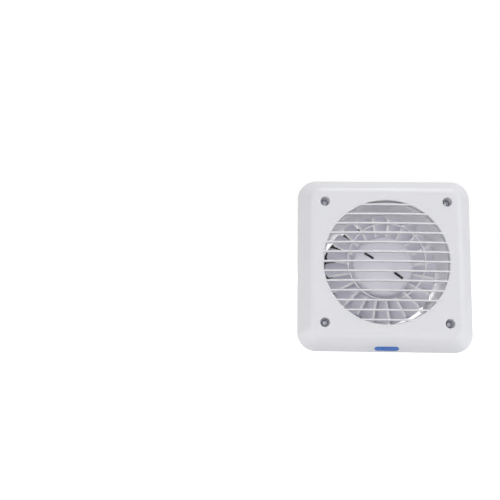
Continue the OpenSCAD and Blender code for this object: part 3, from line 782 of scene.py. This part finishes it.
def build_impeller():
    """The hub with its boss, ribs, slots and bore, and all its blades, as one moulding."""
    hub = hub_solid()
    hub.name = "impeller_moulding"
    boss_front = 0.6
    boss = lathe_rounded("boss", [(0, HUB_BOSS_BACK, 0), (HUB_BOSS_R, HUB_BOSS_BACK, 0.5),
                                  (HUB_BOSS_R, boss_front, 0), (0, boss_front, 0)], 64)
    rib = (5.0, HUB_FRONT_R - 1), (-0.7, 0.7), (-16.0, -0.9)
    ribs = [turned(box_solid("rib", *rib), a) for a in range(0, 360, 60)]
    blades = []
    pattern = blade_solid()
    for i in range(BLADES):
        copy = bpy.data.objects.new("blade", pattern.data.copy())
        bpy.context.scene.collection.objects.link(copy)
        blades.append(turned(copy, FIRST_BLADE + i * 360 / BLADES))
    bpy.data.objects.remove(pattern)
    combine(hub, [boss] + ribs + blades, "UNION")

    bore_r, bore_front = SHAFT_R + 0.02, SHAFT_FRONT + 0.1
    cuts = [lathe("bore", [(0, HUB_BOSS_BACK - 2), (bore_r, HUB_BOSS_BACK - 2),
                           (bore_r, bore_front), (0, bore_front)], 48)]
    near, far = SLOT_R - SLOT_LENGTH / 2, SLOT_R + SLOT_LENGTH / 2
    half, corner = SLOT_WIDTH / 2, 0.9
    shape = rounded([(near, -half, corner), (far, -half, corner), (far, half, corner),
                     (near, half, corner)], 4)
    for a in (SLOT_ANGLE, SLOT_ANGLE + 180):
        slot = capped_loft("slot", [[(x, up, out) for x, up, _ in shape] for out in (-20.0, 5.0)])
        cuts.append(turned(slot, a))
    combine(hub, cuts, "DIFFERENCE")
    smooth_shade(hub)
    piece(hub, "rotor", IMPELLER, ["impeller_hub", "impeller_blades"])


# ---- Motor and wiring ----


def sweep(name, points, radius, sides=12, closed=False):
    """A round wire along a run of room points, with flat ends unless it is closed."""
    path = [Vector(p) for p in points]
    count = len(path)
    rings = []
    normal = None
    for i, here in enumerate(path):
        if closed:
            ahead = (path[(i + 1) % count] - path[i - 1]).normalized()
        else:
            ahead = (path[min(i + 1, count - 1)] - path[max(i - 1, 0)]).normalized()
        if normal is None:
            normal = ahead.orthogonal().normalized()
        normal = (normal - ahead * normal.dot(ahead)).normalized()
        other = ahead.cross(normal)
        angles = [2 * math.pi * k / sides for k in range(sides)]
        rings.append([here + radius * (math.cos(a) * normal + math.sin(a) * other)
                      for a in angles])
    return loft(name, rings) if closed else capped_loft(name, rings)


def smooth_route(route, steps=8):
    """A smooth run of points through a route's points."""
    made = []
    for i in range(len(route) - 1):
        a, b = Vector(route[max(i - 1, 0)]), Vector(route[i])
        c, d = Vector(route[i + 1]), Vector(route[min(i + 2, len(route) - 1)])
        for s in range(steps):
            t = s / steps
            made.append((2 * b + (c - a) * t + (2 * a - 5 * b + 4 * c - d) * t**2
                         + (3 * b - a - 3 * c + d) * t**3) / 2)
    made.append(Vector(route[-1]))
    return made


# From the coil, along the tunnel, through its notch and to the terminal block
LIVE_ROUTE = [
    (-6, -58.4, -60), (-6.4, -61.5, -60), (-14, -66, -58.5), (-24, -65.8, -53),
    (-26.4, -65.1, -40), (-26.4, -65.1, -20), (-26.6, -65, -4), (-28.8, -63.8, 6),
    (-32.5, -65, 10), (-38, -65.8, 11), (-42.5, -66, 10.8), (-44.6, -68.5, 10.2),
    (-45, -72.4, 10),
]
NEUTRAL_ROUTE = [
    (-11, -58.4, -63), (-11.4, -61.2, -63), (-18, -64.5, -62), (-28, -64.2, -56),
    (-30.9, -63, -43), (-30.9, -63, -20), (-31, -62.9, -4), (-32.6, -61.4, 6),
    (-36.5, -61.2, 10.5), (-43, -61.5, 12), (-51, -62.5, 11.5), (-56.4, -66.5, 10.4),
    (-57, -72.4, 10),
]
LEAD_R = 1.1


def build_leads():
    """The two insulated leads from the coil to the terminals."""
    for name, route, slot, material, node in (
        ("brown_motor_lead", LIVE_ROUTE, "live_insulation", BROWN, "live_lead"),
        ("blue_motor_lead", NEUTRAL_ROUTE, "neutral_insulation", BLUE, "neutral_lead"),
    ):
        lead = smooth_shade(sweep(name, smooth_route(route), LEAD_R), 60)
        piece(lead, "fan_body", material, [node])


def build_coil():
    """The outer layers of the coil, turn by turn round the core bar, over a plain inner pack."""
    wire_r, corner, arc_steps = 0.42, 2.6, 5
    second_layer, fewer_turns = 0.46, 9
    clear, gap = 1.2, 0.1
    bar_low, bar_high = room_box("core_bar")
    grow = bar_low[1] - COIL_LOW[1] - wire_r - 0.5
    turns = int((COIL_HIGH[0] - COIL_LOW[0] - 0.4) / (2 * wire_r))

    def oblong(extra, radius):
        """A rounded oblong round the core bar and the stack's thickness."""
        low_up, high_up = bar_low[1] - extra, bar_high[1] + extra
        low_out, high_out = STACK_BACK - extra, STACK_FRONT + extra
        return rounded([(low_up, low_out, radius), (high_up, low_out, radius),
                        (high_up, high_out, radius), (low_up, high_out, radius)], arc_steps)

    parts = []
    first = (COIL_LOW[0] + COIL_HIGH[0]) / 2 - (turns - 1) * wire_r
    for layer, count in ((0.0, turns), (second_layer, turns - fewer_turns)):
        for i in range(count):
            x = first + (i + (turns - count) / 2) * 2 * wire_r
            path = [(x, up, out) for up, out, _ in oblong(grow + layer, corner)]
            parts.append(sweep("turn", path, wire_r, 8, closed=True))
    inner, hollow = oblong(grow - wire_r * 0.6, corner), oblong(clear, 0.5)
    left, right = COIL_LOW[0] + gap, COIL_HIGH[0] - gap
    rings = [[(x, up, out) for up, out, _ in shape]
             for x, shape in ((left, inner), (right, inner), (right, hollow), (left, hollow))]
    parts.append(loft("pack", rings))
    coil = smooth_shade(joined("wound_coil", parts), 50)
    piece(coil, "fan_body", ENAMEL, ["coil_winding"])


# ---- CAD nodes that stay, with softened edges and their own materials ----


def soften(node, material, width):
    """Rounds a CAD node's sharp edges a little with modifiers and gives it a material."""
    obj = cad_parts[node]
    obj.data.materials.clear()
    obj.data.materials.append(material)
    weld = obj.modifiers.new("weld", "WELD")
    weld.merge_threshold = 0.002 * MM
    flat = obj.modifiers.new("flat", "DECIMATE")
    flat.decimate_type = "DISSOLVE"
    flat.angle_limit = math.radians(0.4)
    if width:
        edge = obj.modifiers.new("edge", "BEVEL")
        edge.width = width * MM
        edge.segments = 2
        edge.limit_method = "ANGLE"
        edge.angle_limit = math.radians(35)
        edge.harden_normals = True
    for polygon in obj.data.polygons:
        polygon.use_smooth = True


KEPT_NODES = {
    "back_plate": (HOUSING, 0.35),
    "air_tunnel": (HOUSING, 0.35),
    "motor_bracket": (HOUSING, 0.3),
    "front_bearing_bridge": (BRIDGE, 0.35),
    "rear_bearing_bridge": (BRIDGE, 0.35),
    "front_bearing": (BRONZE, 0.2),
    "rear_bearing": (BRONZE, 0.2),
    "bearing_retainers": (SPRING, 0.06),
    "stator_core": (LAMINATION, 0.1),
    "core_bar": (LAMINATION, 0.1),
    "shading_rings": (COPPER, 0.15),
    "coil_bobbin": (NYLON, 0.25),
    "thermal_fuse": (TERMINAL, 0.15),
    "motor_nuts": (SCREW, 0.2),
    "terminal_block": (TERMINAL, 0.25),
    "terminal_inserts": (BRASS, 0.1),
    "terminal_screws": (SCREW, 0.1),
    "terminal_fixing_screw": (SCREW, 0.1),
    "cable_grommet": (RUBBER, 0.3),
    "cable_clamp": (TERMINAL, 0.3),
    "cable_clamp_screws": (SCREW, 0.1),
    "impeller_clip": (SPRING, 0.15),
    "motor_shaft": (SHAFT, 0.1),
    "rotor_core": (LAMINATION, 0.1),
    "rotor_cage": (ALUMINIUM, 0.15),
    "thrust_spacers": (NYLON, 0.15),
}


# ---- Room: floor, lights and camera ----


AMBIENT = 0.18


def build_stage():
    """A pale floor that the fan leans back on, and a dark card behind it: painted shade, seen by
    the camera alone.

    The floor touches the cover's lower edge and the spigot's back end.
    """
    slope = math.atan2(COVER_HALF - SPIGOT_R, -SPIGOT_BACK)
    mesh = bpy.data.meshes.new("floor")
    reach = 4.0
    corners = [(-reach, -reach), (reach, -reach), (reach, reach), (-reach, reach)]
    bottom = -COVER_HALF * MM
    mesh.from_pydata([(x, y, bottom + y * math.tan(slope)) for x, y in corners], [], [(0, 1, 2, 3)])
    floor = bpy.data.objects.new("floor", mesh)
    floor.data.materials.append(floor_paint("pale_floor", (0.9, 0.9, 0.9)))
    bpy.context.scene.collection.objects.link(floor)

    # The card stands well behind the spigot and only the camera sees it: painted shade, so that the
    # camera sees darkness through the blades.
    mesh = bpy.data.meshes.new("dark_card")
    left, right, low, high, back = -0.047, 0.165, 0.020, 0.152, 0.5
    corners = [(left, low), (right, low), (right, high), (left, high)]
    mesh.from_pydata([(x, back, up) for x, up in corners], [], [(0, 1, 2, 3)])
    card = bpy.data.objects.new("dark_card", mesh)
    card.data.materials.append(one_sided(rubber("black_card", (0.004, 0.004, 0.004))))
    bpy.context.scene.collection.objects.link(card)
    card.visible_diffuse = card.visible_glossy = card.visible_shadow = False


def softbox(name, towards, distance, size, share, colour=(1.0, 1.0, 1.0)):
    """A soft square light that faces the fan; share is how bright it alone makes a white card."""
    lamp = bpy.data.lights.new(name, "AREA")
    lamp.shape = "SQUARE"
    lamp.size = size
    lamp.energy = share * (math.pi * distance) ** 2
    lamp.color = colour
    obj = bpy.data.objects.new(name, lamp)
    bpy.context.scene.collection.objects.link(obj)
    direction = Vector(towards).normalized()
    obj.location = direction * distance
    obj.rotation_mode = "QUATERNION"
    obj.rotation_quaternion = (-direction).to_track_quat("-Z", "Y")
    obj.visible_camera = False


def build_lights():
    """A dim even sky that the camera sees as white, and seven softboxes."""
    world = bpy.data.worlds.new("studio")
    world.use_nodes = True
    tree = world.node_tree
    sky = tree.nodes["Background"]
    sky.inputs["Color"].default_value = (1.0, 1.0, 1.0, 1.0)
    sky.inputs["Strength"].default_value = AMBIENT
    seen = tree.nodes.new("ShaderNodeBackground")
    seen.inputs["Color"].default_value = (1.0, 1.0, 1.0, 1.0)
    seen.inputs["Strength"].default_value = 1.0
    mix = tree.nodes.new("ShaderNodeMixShader")
    ray = tree.nodes.new("ShaderNodeLightPath")
    tree.links.new(ray.outputs["Is Camera Ray"], mix.inputs[0])
    tree.links.new(sky.outputs[0], mix.inputs[1])
    tree.links.new(seen.outputs[0], mix.inputs[2])
    tree.links.new(mix.outputs[0], tree.nodes["World Output"].inputs["Surface"])
    bpy.context.scene.world = world
    softbox("front_left", (-0.5, -1.0, 0.1), 1.5, 0.8, 0.24)
    softbox("front_right", (0.3, -1.0, 0.25), 1.5, 0.8, 0.13)
    softbox("front_low", (0.0, -1.0, -0.15), 1.5, 0.4, 0.13)
    softbox("top", (0.1, -0.1, 1.0), 1.3, 0.9, 0.74)
    softbox("right", (1.0, -0.15, 0.1), 1.3, 0.8, 0.45, (0.97, 0.985, 1.0))
    softbox("left", (-1.0, -0.1, 0.1), 1.3, 0.8, 0.25)
    softbox("behind", (0.12, 1.0, 0.06), 1.0, 0.4, 0.85)


def build_camera():
    """The camera, to the left of the fan's axis and below it, because the fan leans back."""
    lens = bpy.data.cameras.new("camera")
    lens.sensor_width = 36.0
    lens.lens = 61.2
    lens.clip_start, lens.clip_end = 0.05, 20.0
    camera = bpy.data.objects.new("camera", lens)
    bpy.context.scene.collection.objects.link(camera)
    camera.location = (-0.12235, -1.00817, -0.16641)
    right = Vector((0.99927, 0.03468, 0.01609))
    up = Vector((-0.0096, -0.17975, 0.98367))
    forward = Vector((-0.03701, 0.9831, 0.17929))
    camera.rotation_mode = "QUATERNION"
    camera.rotation_quaternion = Matrix((right, up, -forward)).transposed().to_quaternion()
    bpy.context.scene.camera = camera


build_camera()
build_stage()
build_lights()
bpy.context.scene.view_settings.view_transform = "Standard"

build_front_cover()
build_badge()
build_screws()
build_impeller()
build_leads()
build_coil()
for node, (material, width) in KEPT_NODES.items():
    soften(node, material, width)
